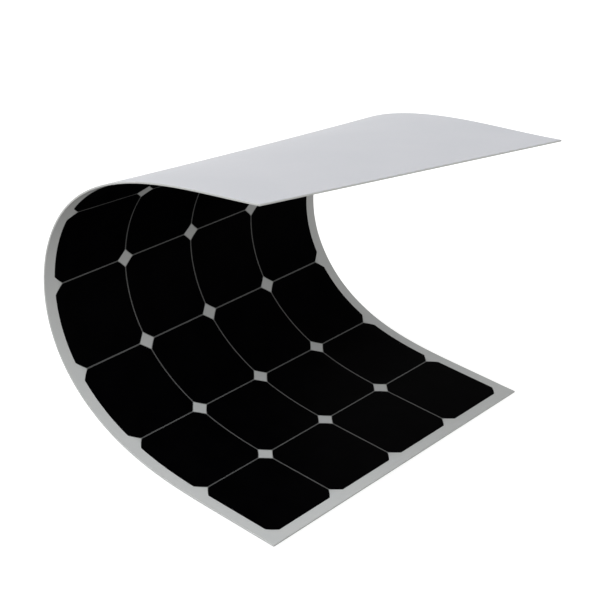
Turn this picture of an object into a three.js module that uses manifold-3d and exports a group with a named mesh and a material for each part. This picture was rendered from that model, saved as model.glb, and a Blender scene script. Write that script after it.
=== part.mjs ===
// Flexible solar sheet: a 2.5 mm laminate of 4 x 8 back-contact cells, 540 x 1060 mm, curled over on itself.
// Millimetres, +Z up. The flat front end (row 1) lies level on its junction box, and the sheet runs along +X from
// there, bends up and comes back over itself. Each row of cells is one strip of the laminate. The strips meet at
// the seven fold lines between the rows, where the sheet bends when it is rolled out flat.
import * as THREE from "three";
import { mergeVertices } from "three/addons/utils/BufferGeometryUtils.js";
import Module from "manifold-3d";

const wasm = await Module();
wasm.setup();

// The sheet, laid flat
const COLUMNS = 4;
const ROWS = 8;
const SIDE_MARGIN = 16;
const FRONT_MARGIN = 16;
const REAR_MARGIN = 28;
const CELL_SIZE = 125;
const CELL_GAP = 2;
const WAFER_DIAMETER = 160;
const PITCH = CELL_SIZE + CELL_GAP;
const SHEET_WIDTH = COLUMNS * PITCH + 2 * SIDE_MARGIN;
const SHEET_LENGTH = FRONT_MARGIN + ROWS * PITCH + REAR_MARGIN;
const CELL_FLAT = Math.sqrt(WAFER_DIAMETER ** 2 - CELL_SIZE ** 2);
const CORNER_LEG = (CELL_SIZE - CELL_FLAT) / 2;
const FOLD_GAP = 0.5;

// The layers, as heights above the plain back face
const THICKNESS = 2.5;
const LAYERS = {
  backing: [0, 1.2],
  cell: [1.5, 1.8],
  film: [2.1, THICKNESS],
};

// The curl: how sharply the sheet bends at distances from its front end, in radians per metre
const BEND_PROFILE = [[100, 0], [300, 3.87], [450, 6.23], [650, 5.12], [800, 1.78], [SHEET_LENGTH, -0.72]];
// and how fast it twists about its own length there, in radians per metre
const TWIST_PROFILE = [[250, 0], [450, -0.19], [650, -0.48], [850, -0.18], [SHEET_LENGTH, -0.06]];
const MM_PER_METRE = 1000;
const TRACE_STEP = 1;

// The bus ribbons in the end margins
const RIBBON_WIDTH = 5;
const LINK_RIBBON_WIDTH = 4;
const POLE_RIBBON_AT = 4;
const FRONT_LINK_AT = 11;
const REAR_LINK_AT = SHEET_LENGTH - 17;
const RIBBON_OUTER_END = 235;
const POLE_INNER_END = 30;
const FRONT_LINK_HALF = 115;
const REAR_LINK_INNER_END = 15;

// The junction box under row 1
const CLEARANCE = 0.3;
const BOX_START = 36;
const BOX_LENGTH = 70;
const BOX_WIDTH = 118;
const BOX_CORNER = 8;
const BASE_HEIGHT = 10.6;
const BASE_FLOOR = 2;
const BASE_WALL = 4;
const LID_HEIGHT = 3.8;
const LID_PLATE = 2.2;
const LID_RIM = 1.6;
const SEAL_INSET = 1.9;
const SEAL_WIDTH = 1.8;
const GLAND_OFFSET = 30;
const GLAND_HOLE_RADIUS = 4.5;
const GLAND_BORE_RADIUS = 3.1;
const GLAND_SPIGOT_RADIUS = 4.2;
const GLAND_COLLAR_RADIUS = 5.2;
const GLAND_COLLAR_LENGTH = 8;
const GLAND_TAPER_RADIUS = 4.6;
const GLAND_MOUTH_RADIUS = 4.1;
const GLAND_LENGTH = 18;
const DIODE_OFFSET = 22;
const DIODE_RADIUS = 2.6;
const DIODE_HALF_LENGTH = 4.8;
const DIODE_WIRE_RADIUS = 0.6;
const DIODE_WIRE_REACH = 17;
const ROUND_SIDES = 24;

// The rate that a profile gives at distance s, per millimetre: nought before its first point, and straight between
function rateAt(profile, s) {
  const next = profile.findIndex(([at]) => at > s);
  if (next === 0) return 0;
  const [end, last] = profile[next === -1 ? profile.length - 1 : next];
  const [start, first] = profile[next === -1 ? profile.length - 2 : next - 1];
  return THREE.MathUtils.mapLinear(s, start, end, first, last) / MM_PER_METRE;
}

// Follows the centreline from the front end: a place and a turn for each step along it
function traceCentreline() {
  const ribs = [];
  const place = new THREE.Vector3();
  const turn = new THREE.Quaternion();
  for (let s = 0; s <= SHEET_LENGTH; s += TRACE_STEP) {
    ribs.push({ place: place.clone(), turn: turn.clone() });
    const middle = s + TRACE_STEP / 2;
    const axis = new THREE.Vector3(rateAt(TWIST_PROFILE, middle), -rateAt(BEND_PROFILE, middle), 0);
    const angle = axis.length() * TRACE_STEP;
    const half = new THREE.Quaternion().setFromAxisAngle(axis.clone().normalize(), angle / 2);
    const along = new THREE.Vector3(TRACE_STEP, 0, 0);
    turn.multiply(half);
    place.add(along.applyQuaternion(turn));
    turn.multiply(half);
  }
  return ribs;
}

const ribs = traceCentreline();

// The point at distance s along the sheet, v to the left of its centreline and h above its back face
function sheetPoint(s, v, h) {
  const index = Math.min(Math.floor(s / TRACE_STEP), ribs.length - 2);
  const share = s / TRACE_STEP - index;
  const place = ribs[index].place.clone().lerp(ribs[index + 1].place, share);
  const turn = ribs[index].turn.clone().slerp(ribs[index + 1].turn, share);
  return new THREE.Vector3(0, v, h - THICKNESS / 2).applyQuaternion(turn).add(place);
}

const foldLine = (row) => FRONT_MARGIN + row * PITCH;

const rowMiddle = (row) => foldLine(row - 0.5);

const columnMiddle = (column) => SHEET_WIDTH / 2 - SIDE_MARGIN - (column - 0.5) * PITCH;

// Where a row's surface is divided along the sheet: its two ends, the ends of the cells' corners, and thirds between
function stationsBetween(start, end, row) {
  const middle = rowMiddle(row);
  const inner = [-1 / 2, -1 / 6, 1 / 6, 1 / 2].map((share) => middle + share * CELL_FLAT);
  return [start, ...inner, end];
}

// A closed piece of one layer: a slab between the stations, whose edges across the sheet come from spansAt(index)
function layerSlab(stations, spansAt, [low, high]) {
  const across = spansAt(0).length - 1;
  const slab = new THREE.BoxGeometry(1, 1, 1, stations.length - 1, across, 1);
  const position = slab.getAttribute("position");
  for (let i = 0; i < position.count; i++) {
    const station = Math.round((position.getX(i) + 0.5) * (stations.length - 1));
    const span = Math.round((position.getY(i) + 0.5) * across);
    const height = position.getZ(i) > 0 ? high : low;
    const point = sheetPoint(stations[station], spansAt(station)[span], height);
    position.setXYZ(i, point.x, point.y, point.z);
  }
  slab.computeVertexNormals();
  return slab;
}

// The whole width of the sheet, divided at every column's edges and middle
function sheetSpans() {
  const halfColumns = Array.from({ length: 2 * COLUMNS + 1 }, (_, i) => (i - COLUMNS) * (PITCH / 2));
  return [-SHEET_WIDTH / 2, ...halfColumns, SHEET_WIDTH / 2];
}

function rowStrip(row, layer) {
  const start = row === 1 ? 0 : foldLine(row - 1) + FOLD_GAP / 2;
  const end = row === ROWS ? SHEET_LENGTH : foldLine(row) - FOLD_GAP / 2;
  return layerSlab(stationsBetween(start, end, row), sheetSpans, layer);
}

// A wafer with its four corners cut off by the round ingot it was sliced from
function cellWafer(row, column) {
  const middle = columnMiddle(column);
  const start = rowMiddle(row) - CELL_SIZE / 2;
  const stations = stationsBetween(start, start + CELL_SIZE, row);
  const spansAt = (index) => {
    const atEnd = index === 0 || index === stations.length - 1;
    const half = CELL_SIZE / 2 - (atEnd ? CORNER_LEG : 0);
    return [-1, -0.5, 0, 0.5, 1].map((share) => middle + share * half);
  };
  return layerSlab(stations, spansAt, LAYERS.cell);
}

// A flat ribbon across the sheet in one of its end margins
function busRibbon(start, width, from, to) {
  return layerSlab([start, start + width], () => [from, (from + to) / 2, to], LAYERS.cell);
}

function toSolid(geometry, matrix = new THREE.Matrix4()) {
  const bare = geometry.clone().applyMatrix4(matrix);
  bare.deleteAttribute("normal");
  bare.deleteAttribute("uv");
  const merged = mergeVertices(bare, 1e-4);
  const triVerts = new Uint32Array(merged.index.array);
  const vertProperties = merged.getAttribute("position").array;
  return new wasm.Manifold(new wasm.Mesh({ numProp: 3, vertProperties, triVerts }));
}

function toGeometry(solid) {
  const mesh = solid.getMesh();
  const geometry = new THREE.BufferGeometry();
  geometry.setAttribute("position", new THREE.BufferAttribute(mesh.vertProperties, 3));
  geometry.setIndex(new THREE.BufferAttribute(mesh.triVerts, 1));
  geometry.computeVertexNormals();
  return geometry;
}

// The box's outline with round corners, drawn inset from its outer wall
function boxOutline(inset, Outline = THREE.Shape) {
  const x = BOX_LENGTH / 2 - inset;
  const y = BOX_WIDTH / 2 - inset;
  const r = BOX_CORNER - inset;
  const outline = new Outline();
  outline.absarc(x - r, y - r, r, 0, Math.PI / 2);
  outline.absarc(r - x, y - r, r, Math.PI / 2, Math.PI);
  outline.absarc(r - x, r - y, r, Math.PI, 1.5 * Math.PI);
  outline.absarc(x - r, r - y, r, 1.5 * Math.PI, 2 * Math.PI);
  outline.closePath();
  return outline;
}

function boxPrism(inset, bottom, top, hole) {
  const outline = boxOutline(inset);
  if (hole !== undefined) outline.holes.push(boxOutline(hole, THREE.Path));
  const options = { depth: top - bottom, bevelEnabled: false, curveSegments: 4 };
  return new THREE.ExtrudeGeometry(outline, options).translate(0, 0, bottom);
}

const BOX_TOP = -THICKNESS / 2 - CLEARANCE;
const RIM_LEVEL = BOX_TOP - BASE_HEIGHT;
const LID_BOTTOM = RIM_LEVEL - CLEARANCE - LID_HEIGHT;
const GLAND_LEVEL = (BOX_TOP + RIM_LEVEL) / 2;

// The tray glued to the back of the sheet, open downwards, with a hole in its rear wall for each gland
function boxBase() {
  const tray = toSolid(boxPrism(0, RIM_LEVEL, BOX_TOP));
  const cavity = toSolid(boxPrism(BASE_WALL, RIM_LEVEL - 1, BOX_TOP - BASE_FLOOR));
  const drill = new THREE.CylinderGeometry(
    GLAND_HOLE_RADIUS, GLAND_HOLE_RADIUS, 4 * BASE_WALL, ROUND_SIDES,
  ).rotateZ(Math.PI / 2);
  return [-1, 1].reduce((solid, side) => {
    const place = new THREE.Matrix4().makeTranslation(BOX_LENGTH / 2, side * GLAND_OFFSET, GLAND_LEVEL);
    return solid.subtract(toSolid(drill, place));
  }, tray.subtract(cavity));
}

// The lid: a plate with a low rim that closes round the seal
function boxLid() {
  const block = toSolid(boxPrism(0, LID_BOTTOM, LID_BOTTOM + LID_HEIGHT));
  const recess = toSolid(boxPrism(LID_RIM, LID_BOTTOM + LID_PLATE, LID_BOTTOM + LID_HEIGHT + 1));
  return block.subtract(recess);
}

function boxSeal() {
  const bottom = LID_BOTTOM + LID_PLATE + CLEARANCE;
  return boxPrism(SEAL_INSET, bottom, RIM_LEVEL - CLEARANCE, SEAL_INSET + SEAL_WIDTH);
}

// A cable gland along +X: a spigot through the wall, a collar outside it and a tapered mouth round the bore
function glandBody() {
  const inner = -BASE_WALL - 1;
  const profile = [
    [GLAND_BORE_RADIUS, inner],
    [GLAND_SPIGOT_RADIUS, inner],
    [GLAND_SPIGOT_RADIUS, CLEARANCE],
    [GLAND_COLLAR_RADIUS, CLEARANCE],
    [GLAND_COLLAR_RADIUS, GLAND_COLLAR_LENGTH],
    [GLAND_TAPER_RADIUS, GLAND_COLLAR_LENGTH + 1],
    [GLAND_MOUTH_RADIUS, GLAND_LENGTH],
    [GLAND_BORE_RADIUS, GLAND_LENGTH],
    [GLAND_BORE_RADIUS, inner],
  ].map(([radius, at]) => new THREE.Vector2(radius, at));
  return new THREE.LatheGeometry(profile, ROUND_SIDES).rotateZ(-Math.PI / 2);
}

// A bypass diode along +Y: a moulded body on a wire at each end
function diodeBody() {
  const profile = [
    [0, -DIODE_WIRE_REACH],
    [DIODE_WIRE_RADIUS, -DIODE_WIRE_REACH],
    [DIODE_WIRE_RADIUS, -DIODE_HALF_LENGTH],
    [DIODE_RADIUS, -DIODE_HALF_LENGTH],
    [DIODE_RADIUS, DIODE_HALF_LENGTH],
    [DIODE_WIRE_RADIUS, DIODE_HALF_LENGTH],
    [DIODE_WIRE_RADIUS, DIODE_WIRE_REACH],
    [0, DIODE_WIRE_REACH],
  ].map(([radius, at]) => new THREE.Vector2(radius, at));
  return new THREE.LatheGeometry(profile, ROUND_SIDES / 2);
}

const MATERIALS = {
  backing: { color: 0xd4d6d8, roughness: 0.5, metalness: 0 },
  cell: { color: 0x050506, roughness: 0.35, metalness: 0 },
  film: { color: 0xdfe1e3, roughness: 0.25, metalness: 0, transparent: true, opacity: 0.2 },
  ribbon: { color: 0xb9bcc0, roughness: 0.35, metalness: 0.9 },
  box: { color: 0x151618, roughness: 0.55, metalness: 0 },
  seal: { color: 0x2b2c2e, roughness: 0.8, metalness: 0 },
  diode: { color: 0x1b1b1d, roughness: 0.45, metalness: 0 },
};

const sheet = new THREE.Group();

function addPiece(name, geometry, material, group = sheet) {
  const mesh = new THREE.Mesh(geometry, new THREE.MeshStandardMaterial(MATERIALS[material]));
  mesh.name = name;
  group.add(mesh);
  return mesh;
}

for (let row = 1; row <= ROWS; row++) {
  addPiece(`backing_row_${row}`, rowStrip(row, LAYERS.backing), "backing");
  addPiece(`front_film_row_${row}`, rowStrip(row, LAYERS.film), "film");
  for (let column = 1; column <= COLUMNS; column++)
    addPiece(`cell_row_${row}_column_${column}`, cellWafer(row, column), "cell");
}

const RIBBONS = {
  bus_ribbon_positive: [POLE_RIBBON_AT, RIBBON_WIDTH, POLE_INNER_END, RIBBON_OUTER_END],
  bus_ribbon_negative: [POLE_RIBBON_AT, RIBBON_WIDTH, -RIBBON_OUTER_END, -POLE_INNER_END],
  bus_ribbon_front_link: [FRONT_LINK_AT, LINK_RIBBON_WIDTH, -FRONT_LINK_HALF, FRONT_LINK_HALF],
  bus_ribbon_rear_link_1: [REAR_LINK_AT, RIBBON_WIDTH, REAR_LINK_INNER_END, RIBBON_OUTER_END],
  bus_ribbon_rear_link_2: [REAR_LINK_AT, RIBBON_WIDTH, -RIBBON_OUTER_END, -REAR_LINK_INNER_END],
};
for (const [name, place] of Object.entries(RIBBONS)) addPiece(name, busRibbon(...place), "ribbon");

const box = new THREE.Group();
box.position.x = BOX_START + BOX_LENGTH / 2;
sheet.add(box);
addPiece("junction_box_base", toGeometry(boxBase()), "box", box);
addPiece("junction_box_lid", toGeometry(boxLid()), "box", box);
addPiece("junction_box_seal", boxSeal(), "seal", box);
[1, -1].forEach((side, i) => {
  const gland = addPiece(`cable_gland_${i + 1}`, glandBody(), "box", box);
  gland.position.set(BOX_LENGTH / 2, side * GLAND_OFFSET, GLAND_LEVEL);
  const diode = addPiece(`bypass_diode_${i + 1}`, diodeBody(), "diode", box);
  diode.position.set(0, side * DIODE_OFFSET, GLAND_LEVEL);
});

// The origin is the middle of the bottom of the whole object's box
const bounds = new THREE.Box3().setFromObject(sheet, true);
const middle = bounds.getCenter(new THREE.Vector3());
sheet.position.set(-middle.x, -middle.y, -bounds.min.z);

const part = new THREE.Group();
part.add(sheet);

export default part;
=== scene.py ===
# Looks for the flexible solar sheet: a thin laminate of black cells on a pale backing, curled over on
# itself. Metres, in the imported model's frame. Row 1 lies level at the front end, and from there the sheet
# runs along +X, bends up and comes back over itself. Each row of cells is one strip of laminate that rides
# on its own body.
import math

import bpy
import numpy as np
from mathutils import Euler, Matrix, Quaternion, Vector


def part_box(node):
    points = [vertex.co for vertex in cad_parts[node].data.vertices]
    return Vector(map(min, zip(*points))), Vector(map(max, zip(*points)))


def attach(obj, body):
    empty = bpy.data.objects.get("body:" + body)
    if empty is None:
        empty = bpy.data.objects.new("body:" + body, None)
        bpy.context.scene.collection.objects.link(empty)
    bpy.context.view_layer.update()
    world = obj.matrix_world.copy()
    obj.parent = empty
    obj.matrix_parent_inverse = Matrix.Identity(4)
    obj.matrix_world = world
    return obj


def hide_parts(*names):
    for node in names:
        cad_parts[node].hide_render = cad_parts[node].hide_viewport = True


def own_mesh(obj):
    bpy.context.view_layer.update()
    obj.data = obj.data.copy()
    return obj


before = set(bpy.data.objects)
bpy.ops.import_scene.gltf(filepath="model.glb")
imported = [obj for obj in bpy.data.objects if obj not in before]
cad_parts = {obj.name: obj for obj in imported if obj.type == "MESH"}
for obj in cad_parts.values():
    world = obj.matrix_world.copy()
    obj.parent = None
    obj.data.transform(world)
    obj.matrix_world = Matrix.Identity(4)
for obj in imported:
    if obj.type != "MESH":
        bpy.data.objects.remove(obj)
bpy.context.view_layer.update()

MM = 0.001

# The sheet, laid flat
ROWS = 8
COLUMNS = 4
SIDE_MARGIN = 16 * MM
FRONT_MARGIN = 16 * MM
REAR_MARGIN = 28 * MM
CELL_SIZE = 125 * MM
CELL_GAP = 2 * MM
WAFER_RADIUS = 80 * MM
PITCH = CELL_SIZE + CELL_GAP
SHEET_WIDTH = COLUMNS * PITCH + 2 * SIDE_MARGIN
SHEET_LENGTH = FRONT_MARGIN + ROWS * PITCH + REAR_MARGIN

# Heights above the plain back face
THICKNESS = 2.5 * MM
BACK_SHEET = (0, 1.3 * MM)
FRONT_SKIN = (1.32 * MM, 2.42 * MM)
WAFER = (2.0 * MM, THICKNESS)
RIBBON = (1.5 * MM, 1.8 * MM)
TRIMMED_EDGE = 0.3 * MM

# Each back sheet laps a little way into the next one, so that no gap opens at the fold line between them
# when the sheet is rolled out
LAP = 0.9 * MM
LAP_STEP = 0.02 * MM
LAP_INSET = 0.3 * MM
LAP_HEIGHTS = (0.3 * MM, 0.6 * MM)

# The curl: radians of bend and of twist per metre, at distances from the front end
BEND_PROFILE = ((0.1, 0), (0.3, 3.87), (0.45, 6.23), (0.65, 5.12), (0.8, 1.78), (SHEET_LENGTH, -0.72))
TWIST_PROFILE = ((0.25, 0), (0.45, -0.19), (0.65, -0.48), (0.85, -0.18), (SHEET_LENGTH, -0.06))
TRACE_STEP = 1 * MM
STATION_STEP = 3.5 * MM

SMOOTH_ANGLE = math.radians(35)

# Painted shade on the front beside its margins: how pale it is left in the diamonds between four cells, and
# in the gaps between two
DIAMOND_PAINTED_SHADE = 0.86
GAP_PAINTED_SHADE = 0.16
# how far a diamond's painted shade reaches from its middle, and how far a margin stays pale, free of it, in
# between the outer cells
CORNER_REACH = 14 * MM
MARGIN_REACH = 4 * MM
# and the painted light on the cut ends beside the cut sides: painted shade darkens the front end, painted
# light brightens the rear end
FRONT_END_PAINTED_SHADE = 0.82
REAR_END_PAINTED_LIGHT = 1.15

# The camera: its place, its turn about X, Y and Z in degrees, and its lens and sensor in millimetres
CAMERA_PLACE = (-1.16823, 1.45069, 1.18989)
CAMERA_TURN = (61.812, -4.111, -139.124)
CAMERA_LENS = 92.08
CAMERA_SENSOR = 36

# The studio: how bright it is towards +X, +Y and +Z from the object, and towards -X, -Y and -Z
LIGHT_TOWARDS_PLUS = (1.67, 0.37, 0.24)
LIGHT_TOWARDS_MINUS = (0.79, 0.23, 0.07)
LIGHT_COLOUR = (1.0, 0.985, 0.955, 1)
# and its three wide lamps: the direction towards each, and its strength
LAMPS = (((0, 0.75, 0.7), 0.57), ((-0.5, 0.6, 0.65), 0.76), ((0.4, 0.6, 0.7), 1.03))
LAMP_COLOUR = (0.975, 0.99, 1.0)
LAMP_SPREAD = math.radians(40)
STAGE_SIZE = 9
FLOOR_GLOW = 0.86
FLOOR_SHADE = 0.35


# ---------------------------------------------------------------- camera, floor and light

def add_camera():
    data = bpy.data.cameras.new("camera")
    data.sensor_width = CAMERA_SENSOR
    data.lens = CAMERA_LENS
    camera = bpy.data.objects.new("camera", data)
    camera.location = CAMERA_PLACE
    camera.rotation_euler = Euler([math.radians(angle) for angle in CAMERA_TURN])
    bpy.context.scene.collection.objects.link(camera)
    bpy.context.scene.camera = camera


def add_world():
    """Soft light from all round, whose brightness from each direction blends those of the six sides."""
    world = bpy.data.worlds.new("studio")
    world.use_nodes = True
    tree = world.node_tree
    direction = tree.nodes.new("ShaderNodeTexCoord").outputs["Generated"]
    sides = []
    for sign, brightness in ((1, LIGHT_TOWARDS_PLUS), (-1, LIGHT_TOWARDS_MINUS)):
        facing = vector_math(tree, "MULTIPLY", direction, (sign, sign, sign))
        facing = vector_math(tree, "MAXIMUM", facing, (0, 0, 0))
        squared = vector_math(tree, "MULTIPLY", facing, facing)
        sides.append(vector_math(tree, "DOT_PRODUCT", squared, brightness, output="Value"))
    total = tree.nodes.new("ShaderNodeMath")
    for socket, side in zip(total.inputs, sides):
        tree.links.new(side, socket)
    tree.links.new(total.outputs[0], tree.nodes["Background"].inputs["Strength"])
    tree.nodes["Background"].inputs["Color"].default_value = LIGHT_COLOUR
    bpy.context.scene.world = world


def add_lamp(name, toward, strength):
    data = bpy.data.lights.new(name, "SUN")
    data.energy = strength
    data.color = LAMP_COLOUR
    data.angle = LAMP_SPREAD
    lamp = bpy.data.objects.new(name, data)
    lamp.rotation_euler = Vector(toward).to_track_quat("Z", "Y").to_euler()
    bpy.context.scene.collection.objects.link(lamp)


def vector_math(tree, operation, *values, output="Vector"):
    node = tree.nodes.new("ShaderNodeVectorMath")
    node.operation = operation
    for socket, value in zip(node.inputs, values):
        if isinstance(value, bpy.types.NodeSocket):
            tree.links.new(value, socket)
        else:
            socket.default_value = value
    return node.outputs[output]


def add_stage_piece(name, points, faces, glow, shade):
    """A white surface that only the camera sees, with its own glow and some shade from the lights."""
    mesh = bpy.data.meshes.new(name)
    mesh.from_pydata(points, [], faces)
    piece = bpy.data.objects.new(name, mesh)
    bpy.context.scene.collection.objects.link(piece)
    paint = Surface(
        name, Roughness=0.9, Specular_IOR_Level=0, Emission_Color=(1, 1, 1, 1), Emission_Strength=glow)
    paint.shader.inputs["Base Color"].default_value = (shade, shade, shade, 1)
    mesh.materials.append(paint.material)
    piece.visible_diffuse = False
    piece.visible_glossy = False
    piece.visible_transmission = False
    piece.visible_shadow = False


def add_studio():
    bpy.context.scene.view_settings.view_transform = "Standard"
    add_world()
    for number, (toward, strength) in enumerate(LAMPS, start=1):
        add_lamp(f"lamp_{number}", toward, strength)
    corners = ((-STAGE_SIZE, -STAGE_SIZE), (STAGE_SIZE, -STAGE_SIZE),
               (STAGE_SIZE, STAGE_SIZE), (-STAGE_SIZE, STAGE_SIZE))
    low = [(x, y, 0) for x, y in corners]
    high = [(x, y, STAGE_SIZE) for x, y in corners]
    add_stage_piece("floor", low, [(0, 1, 2, 3)], FLOOR_GLOW, FLOOR_SHADE)
    walls = [(i, (i + 1) % 4, 4 + (i + 1) % 4, 4 + i) for i in range(4)]
    add_stage_piece("backdrop", low + high, walls + [(7, 6, 5, 4)], glow=1, shade=0)


# ---------------------------------------------------------------- materials

# How far apart the ridges of a wave texture are at a scale of 1
RIDGE_SPACING = 0.314


class Surface:
    """A Principled material, and short ways to add the nodes that its colour, roughness and relief use."""

    def __init__(self, name, **sockets):
        self.material = bpy.data.materials.new(name)
        self.material.use_nodes = True
        self.tree = self.material.node_tree
        self.shader = self.tree.nodes["Principled BSDF"]
        for socket, value in sockets.items():
            self.shader.inputs[socket.replace("_", " ")].default_value = value
        self.place = None

    def node(self, kind, inputs=(), **settings):
        """A new node with these settings. An input is a number, a colour or another node's output."""
        made = self.tree.nodes.new("ShaderNode" + kind)
        for key, value in settings.items():
            setattr(made, key, value)
        for key, value in dict(inputs).items():
            if isinstance(value, bpy.types.NodeSocket):
                self.tree.links.new(value, made.inputs[key])
            else:
                made.inputs[key].default_value = value
        return made

    def flat(self):
        """The flat place on the sheet, in metres, from the piece's UVs."""
        if self.place is None:
            self.place = self.node("UVMap", uv_map="flat").outputs["UV"]
        return self.place

    def body(self):
        """The place in the object's own frame, in metres."""
        return self.node("TexCoord").outputs["Object"]

    def stretched(self, place, scale):
        return self.node("VectorMath", {0: place, 1: scale}, operation="MULTIPLY").outputs[0]

    def noise(self, place, size, detail=2.0):
        """Cloudy noise with features about size metres across."""
        inputs = {"Vector": place, "Scale": 1 / size, "Detail": detail}
        return self.node("TexNoise", inputs).outputs["Fac"]

    def waves(self, place, size, direction):
        """Ridges size metres apart."""
        inputs = {"Vector": place, "Scale": RIDGE_SPACING / size, "Distortion": 0.4}
        return self.node("TexWave", inputs, bands_direction=direction).outputs["Fac"]

    def ramp(self, value, stops):
        """The colour for a value from nought to one, from (position, colour) stops."""
        made = self.node("ValToRGB", {"Fac": value})
        elements = made.color_ramp.elements
        while len(elements) < len(stops):
            elements.new(1)
        for element, (position, colour) in zip(elements, stops):
            element.position = position
            element.color = (*colour, 1)
        return made.outputs["Color"]

    def mix(self, share, first, second):
        made = self.node("Mix", {"Factor": share}, data_type="RGBA")
        self.tree.links.new(first, made.inputs[6])
        self.tree.links.new(second, made.inputs[7])
        return made.outputs[2]

    def tint(self, colour, painted_light_level):
        """The colour multiplied by a level of painted light: below one it paints shade, above one light."""
        made = self.node("Mix", {"Factor": 1}, data_type="RGBA", blend_type="MULTIPLY")
        self.tree.links.new(colour, made.inputs[6])
        made.inputs[7].default_value = (painted_light_level, painted_light_level, painted_light_level, 1)
        return made.outputs[2]

    def fade(self, value, start, end):
        """Nought below start, one above end."""
        inputs = {"Value": value, "From Min": start, "From Max": end}
        return self.node("MapRange", inputs, clamp=True).outputs["Result"]

    def distance_to_line(self, along, first):
        """How far a place is from the nearest of a row of lines, a pitch apart, one of them at first."""
        turns = self.math("DIVIDE", self.math("SUBTRACT", along, first), PITCH)
        nearest = self.math("ROUND", turns, 0)
        return self.math("MULTIPLY", self.math("ABSOLUTE", self.math("SUBTRACT", turns, nearest), 0), PITCH)

    def spread(self, value, low, high):
        return self.node("MapRange", {"Value": value, "To Min": low, "To Max": high}).outputs["Result"]

    def math(self, operation, a, b):
        return self.node("Math", {0: a, 1: b}, operation=operation).outputs[0]

    def colour(self, output):
        self.tree.links.new(output, self.shader.inputs["Base Color"])

    def roughness(self, output):
        self.tree.links.new(output, self.shader.inputs["Roughness"])

    def relief(self, *layers):
        """Bumps from (height output, depth in metres) layers, one on another."""
        normal = None
        for height, depth in layers:
            inputs = {"Height": height, "Distance": depth}
            if normal is not None:
                inputs["Normal"] = normal
            normal = self.node("Bump", inputs).outputs["Normal"]
        self.tree.links.new(normal, self.shader.inputs["Normal"])


def back_sheet_material():
    """The plain back: a pale satin sheet with the faint weave of the glass fibre under it."""
    surface = Surface("back_sheet", Specular_IOR_Level=0.25)
    place = surface.flat()
    clouds = surface.noise(place, 90 * MM, detail=4)
    surface.colour(surface.ramp(clouds, [(0.3, (0.590, 0.603, 0.650)), (0.7, (0.612, 0.622, 0.668))]))
    surface.roughness(surface.spread(surface.noise(place, 6 * MM, detail=5), 0.42, 0.56))
    weave = surface.math("ADD", surface.waves(place, 0.9 * MM, "X"), surface.waves(place, 0.9 * MM, "Y"))
    surface.relief((weave, 0.006 * MM), (surface.noise(place, 0.5 * MM), 0.01 * MM))
    return surface.material


def front_skin_material():
    """The pale sheet between and round the cells, under its clear embossed film. Shade is painted into it:
    darker in the diamonds between the cells, and darkest in the gaps."""
    surface = Surface(
        "front_skin", Specular_IOR_Level=0.15, Coat_Weight=0.15, Coat_Roughness=0.28, Coat_IOR=1.42)
    place = surface.flat()
    clouds = surface.noise(place, 60 * MM, detail=4)
    margin = surface.ramp(clouds, [(0.3, (0.570, 0.585, 0.590)), (0.7, (0.595, 0.605, 0.605))])
    s, v, _ = surface.node("SeparateXYZ", {0: place}).outputs
    to_row_line = surface.distance_to_line(s, FRONT_MARGIN)
    to_column_line = surface.distance_to_line(v, 0)
    between = surface.math("ADD", to_row_line, to_column_line)
    gap_shade_share = surface.fade(between, CORNER_REACH - 2 * MM, CORNER_REACH + 1 * MM)
    half_rows = ROWS * PITCH / 2
    in_rows = surface.math("ABSOLUTE", surface.math("SUBTRACT", s, FRONT_MARGIN + half_rows), 0)
    past_rows = surface.fade(in_rows, half_rows - CORNER_REACH, half_rows - MARGIN_REACH)
    across = surface.math("ABSOLUTE", v, 0)
    half_columns = COLUMNS * PITCH / 2
    past_columns = surface.fade(across, half_columns - CORNER_REACH, half_columns - MARGIN_REACH)
    in_margin = surface.math("MAXIMUM", past_rows, past_columns)
    # painted shade: the diamonds and the gaps between cells are darkened copies of the margin's colour
    inner = surface.mix(gap_shade_share, surface.tint(margin, DIAMOND_PAINTED_SHADE), surface.tint(margin, GAP_PAINTED_SHADE))
    surface.colour(surface.mix(in_margin, inner, margin))
    surface.roughness(surface.spread(surface.noise(place, 4 * MM, detail=5), 0.38, 0.52))
    surface.relief((surface.noise(place, 0.7 * MM), 0.02 * MM))
    return surface.material


def wafer_material():
    """A black back-contact cell under the same film: no lines on its face, and hardly any gloss."""
    surface = Surface("wafer", Specular_IOR_Level=0.005)
    place = surface.flat()
    clouds = surface.noise(place, 40 * MM, detail=5)
    surface.colour(surface.ramp(clouds, [(0.3, (0.0006, 0.0006, 0.0008)), (0.7, (0.0011, 0.0011, 0.0014))]))
    surface.roughness(surface.spread(surface.noise(place, 5 * MM, detail=5), 0.3, 0.42))
    surface.relief((surface.noise(place, 0.7 * MM), 0.02 * MM))
    return surface.material


def cut_edge_material(name, painted_light_level):
    """The laminate's cut edge: from the back, glass fibre, a thin line of glue, encapsulant and film. Its
    level of painted light darkens or brightens the whole edge.
    """
    surface = Surface(name, Specular_IOR_Level=0.3)
    place = surface.flat()
    height = surface.node("SeparateXYZ", {0: place}).outputs["Y"]
    level = surface.math("DIVIDE", height, THICKNESS)
    fibres = surface.noise(surface.stretched(place, (0.08, 1, 1)), 0.25 * MM, detail=3)
    ragged = surface.math("ADD", level, surface.spread(fibres, -0.03, 0.03))
    # painted light and shade: the layered colour is scaled by the given level
    surface.colour(surface.tint(surface.ramp(ragged, [
        (0.00, (0.56, 0.57, 0.58)),
        (0.50, (0.50, 0.515, 0.50)),
        (0.56, (0.30, 0.31, 0.30)),
        (0.61, (0.52, 0.53, 0.525)),
        (0.88, (0.50, 0.51, 0.51)),
        (1.00, (0.60, 0.61, 0.62)),
    ]), painted_light_level))
    surface.roughness(surface.spread(fibres, 0.45, 0.75))
    surface.relief((fibres, 0.05 * MM))
    return surface.material


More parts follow.
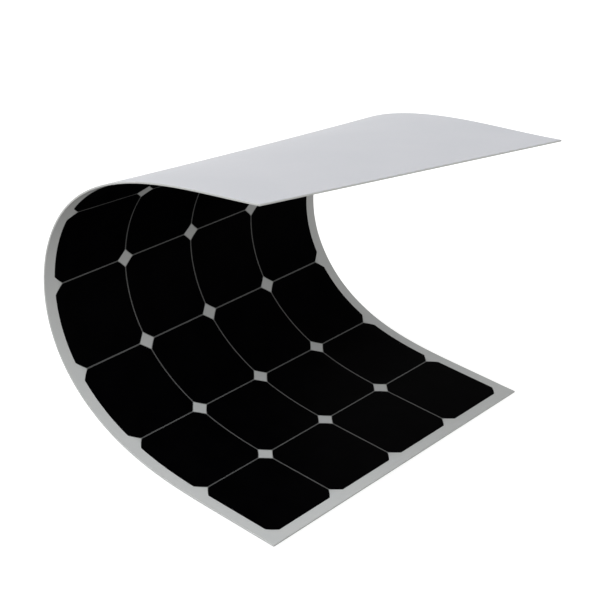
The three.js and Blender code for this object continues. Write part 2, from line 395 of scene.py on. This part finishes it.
def tinned_material():
    surface = Surface("tinned_ribbon", Metallic=0.9)
    place = surface.flat()
    streaks = surface.noise(surface.stretched(place, (1, 0.05, 1)), 0.6 * MM, detail=4)
    surface.colour(surface.ramp(streaks, [(0.2, (0.52, 0.53, 0.54)), (0.8, (0.66, 0.67, 0.68))]))
    surface.roughness(surface.spread(streaks, 0.25, 0.4))
    surface.relief((streaks, 0.01 * MM))
    return surface.material


def moulded_material(name, dark, light, grain, depth, smooth, rough):
    """Moulded plastic or rubber: a fine grain, and a little unevenness in tone and gloss."""
    surface = Surface(name, Specular_IOR_Level=0.4)
    place = surface.body()
    clouds = surface.noise(place, 9 * MM, detail=4)
    surface.colour(surface.ramp(clouds, [(0.3, dark), (0.7, light)]))
    surface.roughness(surface.spread(surface.noise(place, 3 * MM, detail=5), smooth, rough))
    surface.relief((surface.noise(place, grain, detail=4), depth))
    return surface.material


MOULDED = {
    "black_plastic": {
        "dark": (0.014, 0.014, 0.016), "light": (0.021, 0.021, 0.023),
        "grain": 0.35 * MM, "depth": 0.05 * MM, "smooth": 0.42, "rough": 0.58,
    },
    "silicone": {
        "dark": (0.030, 0.030, 0.032), "light": (0.042, 0.042, 0.044),
        "grain": 1.2 * MM, "depth": 0.04 * MM, "smooth": 0.6, "rough": 0.78,
    },
    "epoxy": {
        "dark": (0.016, 0.016, 0.017), "light": (0.024, 0.024, 0.025),
        "grain": 0.3 * MM, "depth": 0.02 * MM, "smooth": 0.3, "rough": 0.42,
    },
}


# ---------------------------------------------------------------- the curled sheet's surface

def rate_at(profile, s):
    """The rate that a profile gives at distance s: nought before its first point, and straight between."""
    distances, rates = zip(*profile)
    return float(np.interp(s, distances, rates))


def trace_centreline():
    """Follows the centreline from the front end: its places, left directions and normals, a step apart."""
    place = Vector()
    turn = Quaternion()
    ribs = []
    for step in range(round(SHEET_LENGTH / TRACE_STEP) + 1):
        ribs.append([place.copy(), turn @ Vector((0, 1, 0)), turn @ Vector((0, 0, 1))])
        middle = (step + 0.5) * TRACE_STEP
        axis = Vector((rate_at(TWIST_PROFILE, middle), -rate_at(BEND_PROFILE, middle), 0))
        half = Quaternion(axis.normalized(), axis.length * TRACE_STEP / 2) if axis.length else Quaternion()
        turn = turn @ half
        place = place + turn @ Vector((TRACE_STEP, 0, 0))
        turn = turn @ half
    return np.array(ribs)


RIBS = trace_centreline()
# The front end of the centreline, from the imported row 1, which is level and square there
row_1_low, row_1_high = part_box("backing_row_1")
ORIGIN = np.array([row_1_low.x, (row_1_low.y + row_1_high.y) / 2, row_1_low.z + THICKNESS / 2])


def sheet_points(s, v, h):
    """The points at distance s along the sheet, v to the left of its centreline, h above its back face."""
    s, v, h = np.broadcast_arrays(*(np.asarray(value, float) for value in (s, v, h)))
    at = s / TRACE_STEP
    steps = np.arange(len(RIBS))
    place, left, normal = (
        np.stack([np.interp(at, steps, RIBS[:, line, axis]) for axis in range(3)], -1) for line in range(3)
    )
    return ORIGIN + place + left * v[..., None] + normal * (h - THICKNESS / 2)[..., None]


def fold_line(row):
    """The far end of a row: the fold line after it, or the sheet's rear end."""
    if row == 0:
        return 0
    return SHEET_LENGTH if row == ROWS else FRONT_MARGIN + row * PITCH


def row_middle(row):
    return FRONT_MARGIN + (row - 0.5) * PITCH


def column_middle(column):
    return SHEET_WIDTH / 2 - SIDE_MARGIN - (column - 0.5) * PITCH


# ---------------------------------------------------------------- building pieces

def new_piece(name, mesh, materials):
    for material in materials:
        mesh.materials.append(material)
    mesh.polygons.foreach_set("use_smooth", [True] * len(mesh.polygons))
    mesh.set_sharp_from_angle(angle=SMOOTH_ANGLE)
    piece = bpy.data.objects.new(name, mesh)
    bpy.context.scene.collection.objects.link(piece)
    return piece


def even_steps(start, end, step):
    """Places from start to end, evenly apart and no more than a step."""
    return np.linspace(start, end, max(1, math.ceil((end - start) / step)) + 1)


# The materials of a strip, in order: broad faces, cut sides, cut ends, and ends within the sheet
BROAD, SIDE, END, WITHIN = range(4)


def strip_mesh(name, stations, section_at, lap_from=SHEET_LENGTH):
    """A closed body swept along the sheet: section_at(s) gives the (v, h) points round its section at
    distance s. UVs are the flat place (s, v), but (s, h) on a cut side and (v, h) on a cut end. What lies
    past lap_from counts as within the sheet."""
    sections = [np.array(section_at(s)) for s in stations]
    count = len(sections[0])
    points = [sheet_points(s, section[:, 0], section[:, 1]) for s, section in zip(stations, sections)]
    faces = []
    uvs = []
    kinds = []
    middle = sections[len(sections) // 2]
    for i in range(len(stations) - 1):
        for j in range(count):
            k = (j + 1) % count
            corners = [(i, j), (i, k), (i + 1, k), (i + 1, j)]
            edge = not math.isclose(middle[j][1], middle[k][1])
            lapped = stations[i] >= lap_from
            faces.append([a * count + b for a, b in corners])
            uvs += [(stations[a], sections[a][b][1 if edge and not lapped else 0]) for a, b in corners]
            kinds.append(WITHIN if lapped else SIDE if edge else BROAD)
    last = len(stations) - 1
    for i, order in ((0, range(count - 1, -1, -1)), (last, range(count))):
        within = 0 < stations[i] < SHEET_LENGTH
        faces.append([i * count + j for j in order])
        uvs += [(stations[i], sections[i][j][0]) if within else tuple(sections[i][j]) for j in order]
        kinds.append(WITHIN if within else END)
    mesh = bpy.data.meshes.new(name)
    mesh.from_pydata(np.concatenate(points).tolist(), [], faces)
    mesh.uv_layers.new(name="flat").data.foreach_set("uv", np.array(uvs, float).ravel())
    mesh.polygons.foreach_set("material_index", kinds)
    return mesh


def flatten_with_row(piece):
    """Gives a piece its own copy of its mesh."""
    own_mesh(piece)


def fit_to_row(piece, row, slot, *nodes):
    """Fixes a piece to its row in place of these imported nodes."""
    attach(piece, f"row_{row}")
    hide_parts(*nodes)
    flatten_with_row(piece)


def slab_section(half, low, high, across, trim_low=0, trim_high=0):
    """A slab's section, round from one end of its lower face: its trimmed corners are cut at 45 degrees."""
    lows = [(share * (half - trim_low), low) for share in across]
    highs = [(share * (half - trim_high), high) for share in across[::-1]]
    side_low = low + trim_low
    side_high = high - trim_high
    return lows + [(half, side_low), (half, side_high)] + highs + [(-half, side_high), (-half, side_low)]


# How many points a wafer has along a cut corner, and across it
WAFER_POINTS = 7
# Where the sheet's sections have their points, as shares of half its width
ACROSS = list(np.linspace(-1, 1, 2 * COLUMNS + 1))


def back_section(row, s):
    """The back sheet's section, which past the row's fold line is a thin lap inside the next row's."""
    if row < ROWS and s > fold_line(row):
        return slab_section(SHEET_WIDTH / 2 - LAP_INSET, *LAP_HEIGHTS, ACROSS)
    return whole_width(s, *BACK_SHEET, TRIMMED_EDGE, 0)


def whole_width(s, low, high, trim_low, trim_high):
    """The sheet's section at distance s. A trimmed face slopes in at the sheet's two ends as well."""
    near_end = max(0, TRIMMED_EDGE - min(s, SHEET_LENGTH - s))
    low += near_end * (trim_low > 0)
    high -= near_end * (trim_high > 0)
    return slab_section(SHEET_WIDTH / 2, low, high, ACROSS, trim_low, trim_high)


def row_stations(row):
    start = fold_line(row - 1)
    end = fold_line(row)
    stations = set(even_steps(start, end, STATION_STEP))
    if row == 1:
        stations.add(TRIMMED_EDGE)
    if row == ROWS:
        stations.add(SHEET_LENGTH - TRIMMED_EDGE)
    return sorted(stations)


def add_row(row, materials):
    """One strip of the laminate: its back sheet, its front skin and its wafers."""
    # row 1 takes the cut edge darkened with painted shade, the other rows the one brightened with painted
    # light for the rear end
    cut_end = materials["front_end" if row == 1 else "rear_end"]
    around = [materials["side"], cut_end, materials["skin"]]
    stations = row_stations(row)
    fold = fold_line(row)
    if row < ROWS:
        stations += [fold + LAP_STEP, fold + LAP]
    back = strip_mesh(f"back_sheet_row_{row}", stations, lambda s: back_section(row, s), lap_from=fold)
    piece = new_piece(back.name, back, [materials["back"], *around])
    fit_to_row(piece, row, "backing", f"backing_row_{row}")
    skin = strip_mesh(
        f"front_skin_row_{row}", row_stations(row), lambda s: whole_width(s, *FRONT_SKIN, 0, TRIMMED_EDGE))
    piece = new_piece(skin.name, skin, [materials["skin"], *around])
    fit_to_row(piece, row, "front_film", f"front_film_row_{row}")
    for column in range(1, COLUMNS + 1):
        add_wafer(row, column, materials["wafer"])


def add_wafer(row, column, material):
    """A square wafer whose corners follow the round ingot that it was sliced from."""
    middle = row_middle(row)
    centre = column_middle(column)
    half_size = CELL_SIZE / 2
    corner_start = math.sqrt(WAFER_RADIUS ** 2 - half_size ** 2)
    angles = [math.asin(offset / WAFER_RADIUS) for offset in (corner_start, half_size)]
    corner = [WAFER_RADIUS * math.sin(angle) for angle in np.linspace(*angles, WAFER_POINTS)]
    straight = list(even_steps(-corner_start, corner_start, STATION_STEP))
    offsets = [-d for d in reversed(corner[1:])] + straight + corner[1:]
    across = list(np.linspace(-1, 1, WAFER_POINTS))

    def section_at(s):
        half = min(half_size, math.sqrt(WAFER_RADIUS ** 2 - (s - middle) ** 2))
        return [(centre + v, h) for v, h in slab_section(half, *WAFER, across)]

    stations = [middle + offset for offset in offsets]
    mesh = strip_mesh(f"wafer_row_{row}_column_{column}", stations, section_at)
    piece = new_piece(mesh.name, mesh, [material] * 4)
    fit_to_row(piece, row, "cell", f"cell_row_{row}_column_{column}")


def add_ribbon(name, row, start, width, right, left, material):
    """A tinned ribbon under the skin in an end margin, from right to left across the sheet."""
    middle = (right + left) / 2
    half = (left - right) / 2
    section = [(middle + v, h) for v, h in slab_section(half, *RIBBON, [-1, -0.5, 0, 0.5, 1])]
    mesh = strip_mesh(f"{name}_strip", [start, start + width], lambda s: section)
    piece = new_piece(mesh.name, mesh, [material] * 4)
    fit_to_row(piece, row, "bus_ribbon", name)


def add_ribbons(material):
    """The two poles' ribbons and the link between the middle strings in front, and two links at the rear."""
    pole, link, rear = 4 * MM, 11 * MM, SHEET_LENGTH - 17 * MM
    wide, narrow = 5 * MM, 4 * MM
    outer, pole_inner, link_half, rear_inner = 235 * MM, 30 * MM, 115 * MM, 15 * MM
    add_ribbon("bus_ribbon_positive", 1, pole, wide, pole_inner, outer, material)
    add_ribbon("bus_ribbon_negative", 1, pole, wide, -outer, -pole_inner, material)
    add_ribbon("bus_ribbon_front_link", 1, link, narrow, -link_half, link_half, material)
    add_ribbon("bus_ribbon_rear_link_1", ROWS, rear, wide, rear_inner, outer, material)
    add_ribbon("bus_ribbon_rear_link_2", ROWS, rear, wide, -outer, -rear_inner, material)


# ---------------------------------------------------------------- the junction box

def loft_mesh(name, bodies):
    """Closed bodies, each from loops of equally many points: a ring's ends join, other ends are capped."""
    points = []
    faces = []
    for loops, ring in bodies:
        base = len(points)
        count = len(loops[0])
        for loop in loops:
            points += [tuple(point) for point in loop]
        levels = len(loops)
        for i in range(levels if ring else levels - 1):
            this = base + i * count
            after = base + (i + 1) % levels * count
            for j in range(count):
                k = (j + 1) % count
                faces.append([this + j, this + k, after + k, after + j])
        if not ring:
            faces.append([base + j for j in range(count - 1, -1, -1)])
            faces.append([base + (levels - 1) * count + j for j in range(count)])
    mesh = bpy.data.meshes.new(name)
    mesh.from_pydata(points, [], faces)
    return mesh


def rounded_loop(centre, half_x, half_y, radius, z, steps=8):
    """A level rectangle with round corners."""
    loop = []
    radius = max(radius, 0.1 * MM)
    for quarter, (sx, sy) in enumerate(((1, 1), (-1, 1), (-1, -1), (1, -1))):
        for step in range(steps + 1):
            angle = (quarter + step / steps) * math.pi / 2
            x = centre.x + sx * (half_x - radius) + radius * math.cos(angle)
            y = centre.y + sy * (half_y - radius) + radius * math.sin(angle)
            loop.append((x, y, z))
    return loop


def fillet(inset, z, radius, rising, steps=5):
    """(inset, z) levels round an outer edge: from the flat face to the wall when rising, else back to it."""
    levels = []
    for step in range(steps + 1):
        angle = step / steps * math.pi / 2
        if rising:
            levels.append((inset + radius * (1 - math.sin(angle)), z + radius * (1 - math.cos(angle))))
        else:
            levels.append((inset + radius * (1 - math.cos(angle)), z - radius * (1 - math.sin(angle))))
    return levels


def box_levels(node, corner, levels):
    """The loops of a box-shaped piece in a CAD node's place, from (inset, z) levels."""
    low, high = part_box(node)
    centre = (low + high) / 2
    half = (high - low) / 2
    return [rounded_loop(centre, half.x - inset, half.y - inset, corner - inset, z) for inset, z in levels]


BOX_CORNER = 8 * MM
BOX_WALL = 4 * MM
BOX_FLOOR = 2 * MM


def add_box_body(plastic, silicone):
    """The tray bonded under row 1, open downwards, and the bead of glue that squeezes out round it."""
    low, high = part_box("junction_box_base")
    edge = 0.3 * MM
    levels = [
        (BOX_WALL, high.z - BOX_FLOOR),
        (BOX_WALL, low.z + edge),
        (BOX_WALL - edge, low.z),
        (edge, low.z),
        (0, low.z + edge),
        *fillet(0, high.z, 1.2 * MM, rising=False),
    ]
    mesh = loft_mesh("junction_box_body", [(box_levels("junction_box_base", BOX_CORNER, levels), False)])
    body = new_piece(mesh.name, mesh, [plastic])
    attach(body, "row_1")
    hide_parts("junction_box_base")

    back = row_1_low.z
    bead = [(1.5 * MM, back - 0.25 * MM), (0.1 * MM, back - 1.7 * MM), (-0.6 * MM, back - 1.1 * MM),
            (-1.3 * MM, back - 0.5 * MM), (-1.6 * MM, back), (1.5 * MM, back)]
    mesh = loft_mesh("junction_box_glue_bead", [(box_levels("junction_box_base", BOX_CORNER, bead), True)])
    glue = new_piece(mesh.name, mesh, [silicone])
    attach(glue, "row_1")


def latch(centre_x, wall_y, side, low_z):
    """A snap tongue that rises from the lid over the side of the box."""
    half_width, proud, foot, rise = 6 * MM, 1.0 * MM, 1.6 * MM, 6.4 * MM
    loops = []
    for z, reach, narrow in (
        (low_z + foot, 0.2 * MM, 0), (low_z + foot + 0.8 * MM, proud, 0),
        (low_z + foot + rise - 0.9 * MM, proud, 0), (low_z + foot + rise, 0.35 * MM, 0.5 * MM),
    ):
        inner = wall_y - side * 0.4 * MM
        outer = wall_y + side * reach
        x = half_width - narrow
        corners = [(-x, inner), (-x, outer), (x, outer), (x, inner)]
        loops.append([(centre_x + along, y, z) for along, y in (corners if side < 0 else corners[::-1])])
    return loops, False


def add_box_lid(plastic):
    """The lid: a plate with a round outer edge and a fine groove, a low rim and four snap tongues."""
    low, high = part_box("junction_box_lid")
    rim, plate = 1.6 * MM, 2.2 * MM
    groove_at, groove = 5 * MM, 0.5 * MM
    levels = [
        (groove_at + 2 * groove, low.z),
        (groove_at + 1.4 * groove, low.z + groove),
        (groove_at + 0.6 * groove, low.z + groove),
        (groove_at, low.z),
        *fillet(0, low.z, 1.4 * MM, rising=True),
        (0, high.z - 0.25 * MM),
        (0.25 * MM, high.z),
        (rim, high.z),
        (rim, low.z + plate),
    ]
    bodies = [(box_levels("junction_box_lid", BOX_CORNER, levels), False)]
    centre = (low + high) / 2
    for side, wall in ((-1, low.y), (1, high.y)):
        bodies += [latch(centre.x + offset, wall, side, low.z) for offset in (-18 * MM, 18 * MM)]
    mesh = loft_mesh("junction_box_cover", bodies)
    lid = new_piece(mesh.name, mesh, [plastic])
    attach(lid, "row_1")
    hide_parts("junction_box_lid")


def add_seal(silicone):
    """The round cord of silicone in the lid."""
    low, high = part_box("junction_box_seal")
    centre_inset, radius = 0.9 * MM, (high.z - low.z) / 2
    middle = (high.z + low.z) / 2
    levels = [
        (centre_inset - radius * math.cos(a), middle + radius * math.sin(a))
        for a in np.linspace(0, 2 * math.pi, 12, endpoint=False)
    ]
    corner = BOX_CORNER - 1.9 * MM
    mesh = loft_mesh("junction_box_gasket", [(box_levels("junction_box_seal", corner, levels), True)])
    seal = new_piece(mesh.name, mesh, [silicone])
    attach(seal, "row_1")
    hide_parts("junction_box_seal")


def turned_loops(start, centre_y, centre_z, profile, sides):
    """Loops round a line along +X, from (distance from start, radius) points."""
    angles = np.linspace(0, 2 * math.pi, sides, endpoint=False)
    return [
        [(start + x, centre_y + r * math.cos(a), centre_z + r * math.sin(a)) for a in angles]
        for x, r in profile
    ]


def add_gland(index, plastic):
    """A cable gland: a spigot through the wall, a hexagonal nut and a ribbed sleeve round the bore."""
    low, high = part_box(f"cable_gland_{index}")
    y = (low.y + high.y) / 2
    z = (low.z + high.z) / 2
    bore, spigot, wall = 3.1 * MM, 4.2 * MM, 5.0 * MM
    end = high.x - low.x
    sleeve = [(0, bore), (0, spigot), (wall + 8 * MM, spigot), (wall + 8.6 * MM, 4.7 * MM)]
    ribs, rib = 4, 1.9 * MM
    for i in range(ribs):
        start = wall + 9 * MM + i * 2 * rib
        radius = (4.7 - 0.12 * i) * MM
        groove = radius - 0.55 * MM
        sleeve += [(start, radius), (start + 0.8 * rib, radius)]
        sleeve += [(start + rib, groove), (start + 1.8 * rib, groove)]
    sleeve = [(x, r) for x, r in sleeve if x < end - 1.2 * MM]
    sleeve += [
        (end - 1.0 * MM, 4.1 * MM), (end - 0.4 * MM, 4.0 * MM), (end, 3.6 * MM),
        (end, bore + 0.2 * MM), (end - 0.3 * MM, bore),
    ]
    nut_radius = 5.9 * MM
    nut = [
        (wall + 0.3 * MM, spigot), (wall + 0.3 * MM, nut_radius - 0.5 * MM), (wall + 0.8 * MM, nut_radius),
        (wall + 7.2 * MM, nut_radius), (wall + 7.8 * MM, nut_radius - 0.6 * MM), (wall + 7.8 * MM, spigot),
    ]
    bodies = [
        (turned_loops(low.x, y, z, sleeve, 32), True),
        (turned_loops(low.x, y, z, nut, 6), True),
    ]
    mesh = loft_mesh(f"gland_body_{index}", bodies)
    gland = new_piece(mesh.name, mesh, [plastic])
    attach(gland, "row_1")
    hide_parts(f"cable_gland_{index}")


def finish_diodes(epoxy):
    """The diodes, shut inside the box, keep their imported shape."""
    for index in (1, 2):
        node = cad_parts[f"bypass_diode_{index}"]
        for material_slot in node.material_slots:
            material_slot.material = epoxy


# ---------------------------------------------------------------- the scene

add_camera()
add_studio()

sheet_materials = {
    "back": back_sheet_material(),
    "skin": front_skin_material(),
    "wafer": wafer_material(),
    # lit and shaded copies of the cut edge: painted shade on the front end, painted light on the rear end
    "side": cut_edge_material("cut_side", 1),
    "front_end": cut_edge_material("cut_front_end_painted_shade", FRONT_END_PAINTED_SHADE),
    "rear_end": cut_edge_material("cut_rear_end_painted_light", REAR_END_PAINTED_LIGHT),
}
for row in range(1, ROWS + 1):
    add_row(row, sheet_materials)
add_ribbons(tinned_material())

moulded = {name: moulded_material(name, **values) for name, values in MOULDED.items()}
add_box_body(moulded["black_plastic"], moulded["silicone"])
add_box_lid(moulded["black_plastic"])
add_seal(moulded["silicone"])
add_gland(1, moulded["black_plastic"])
add_gland(2, moulded["black_plastic"])
finish_diodes(moulded["epoxy"])
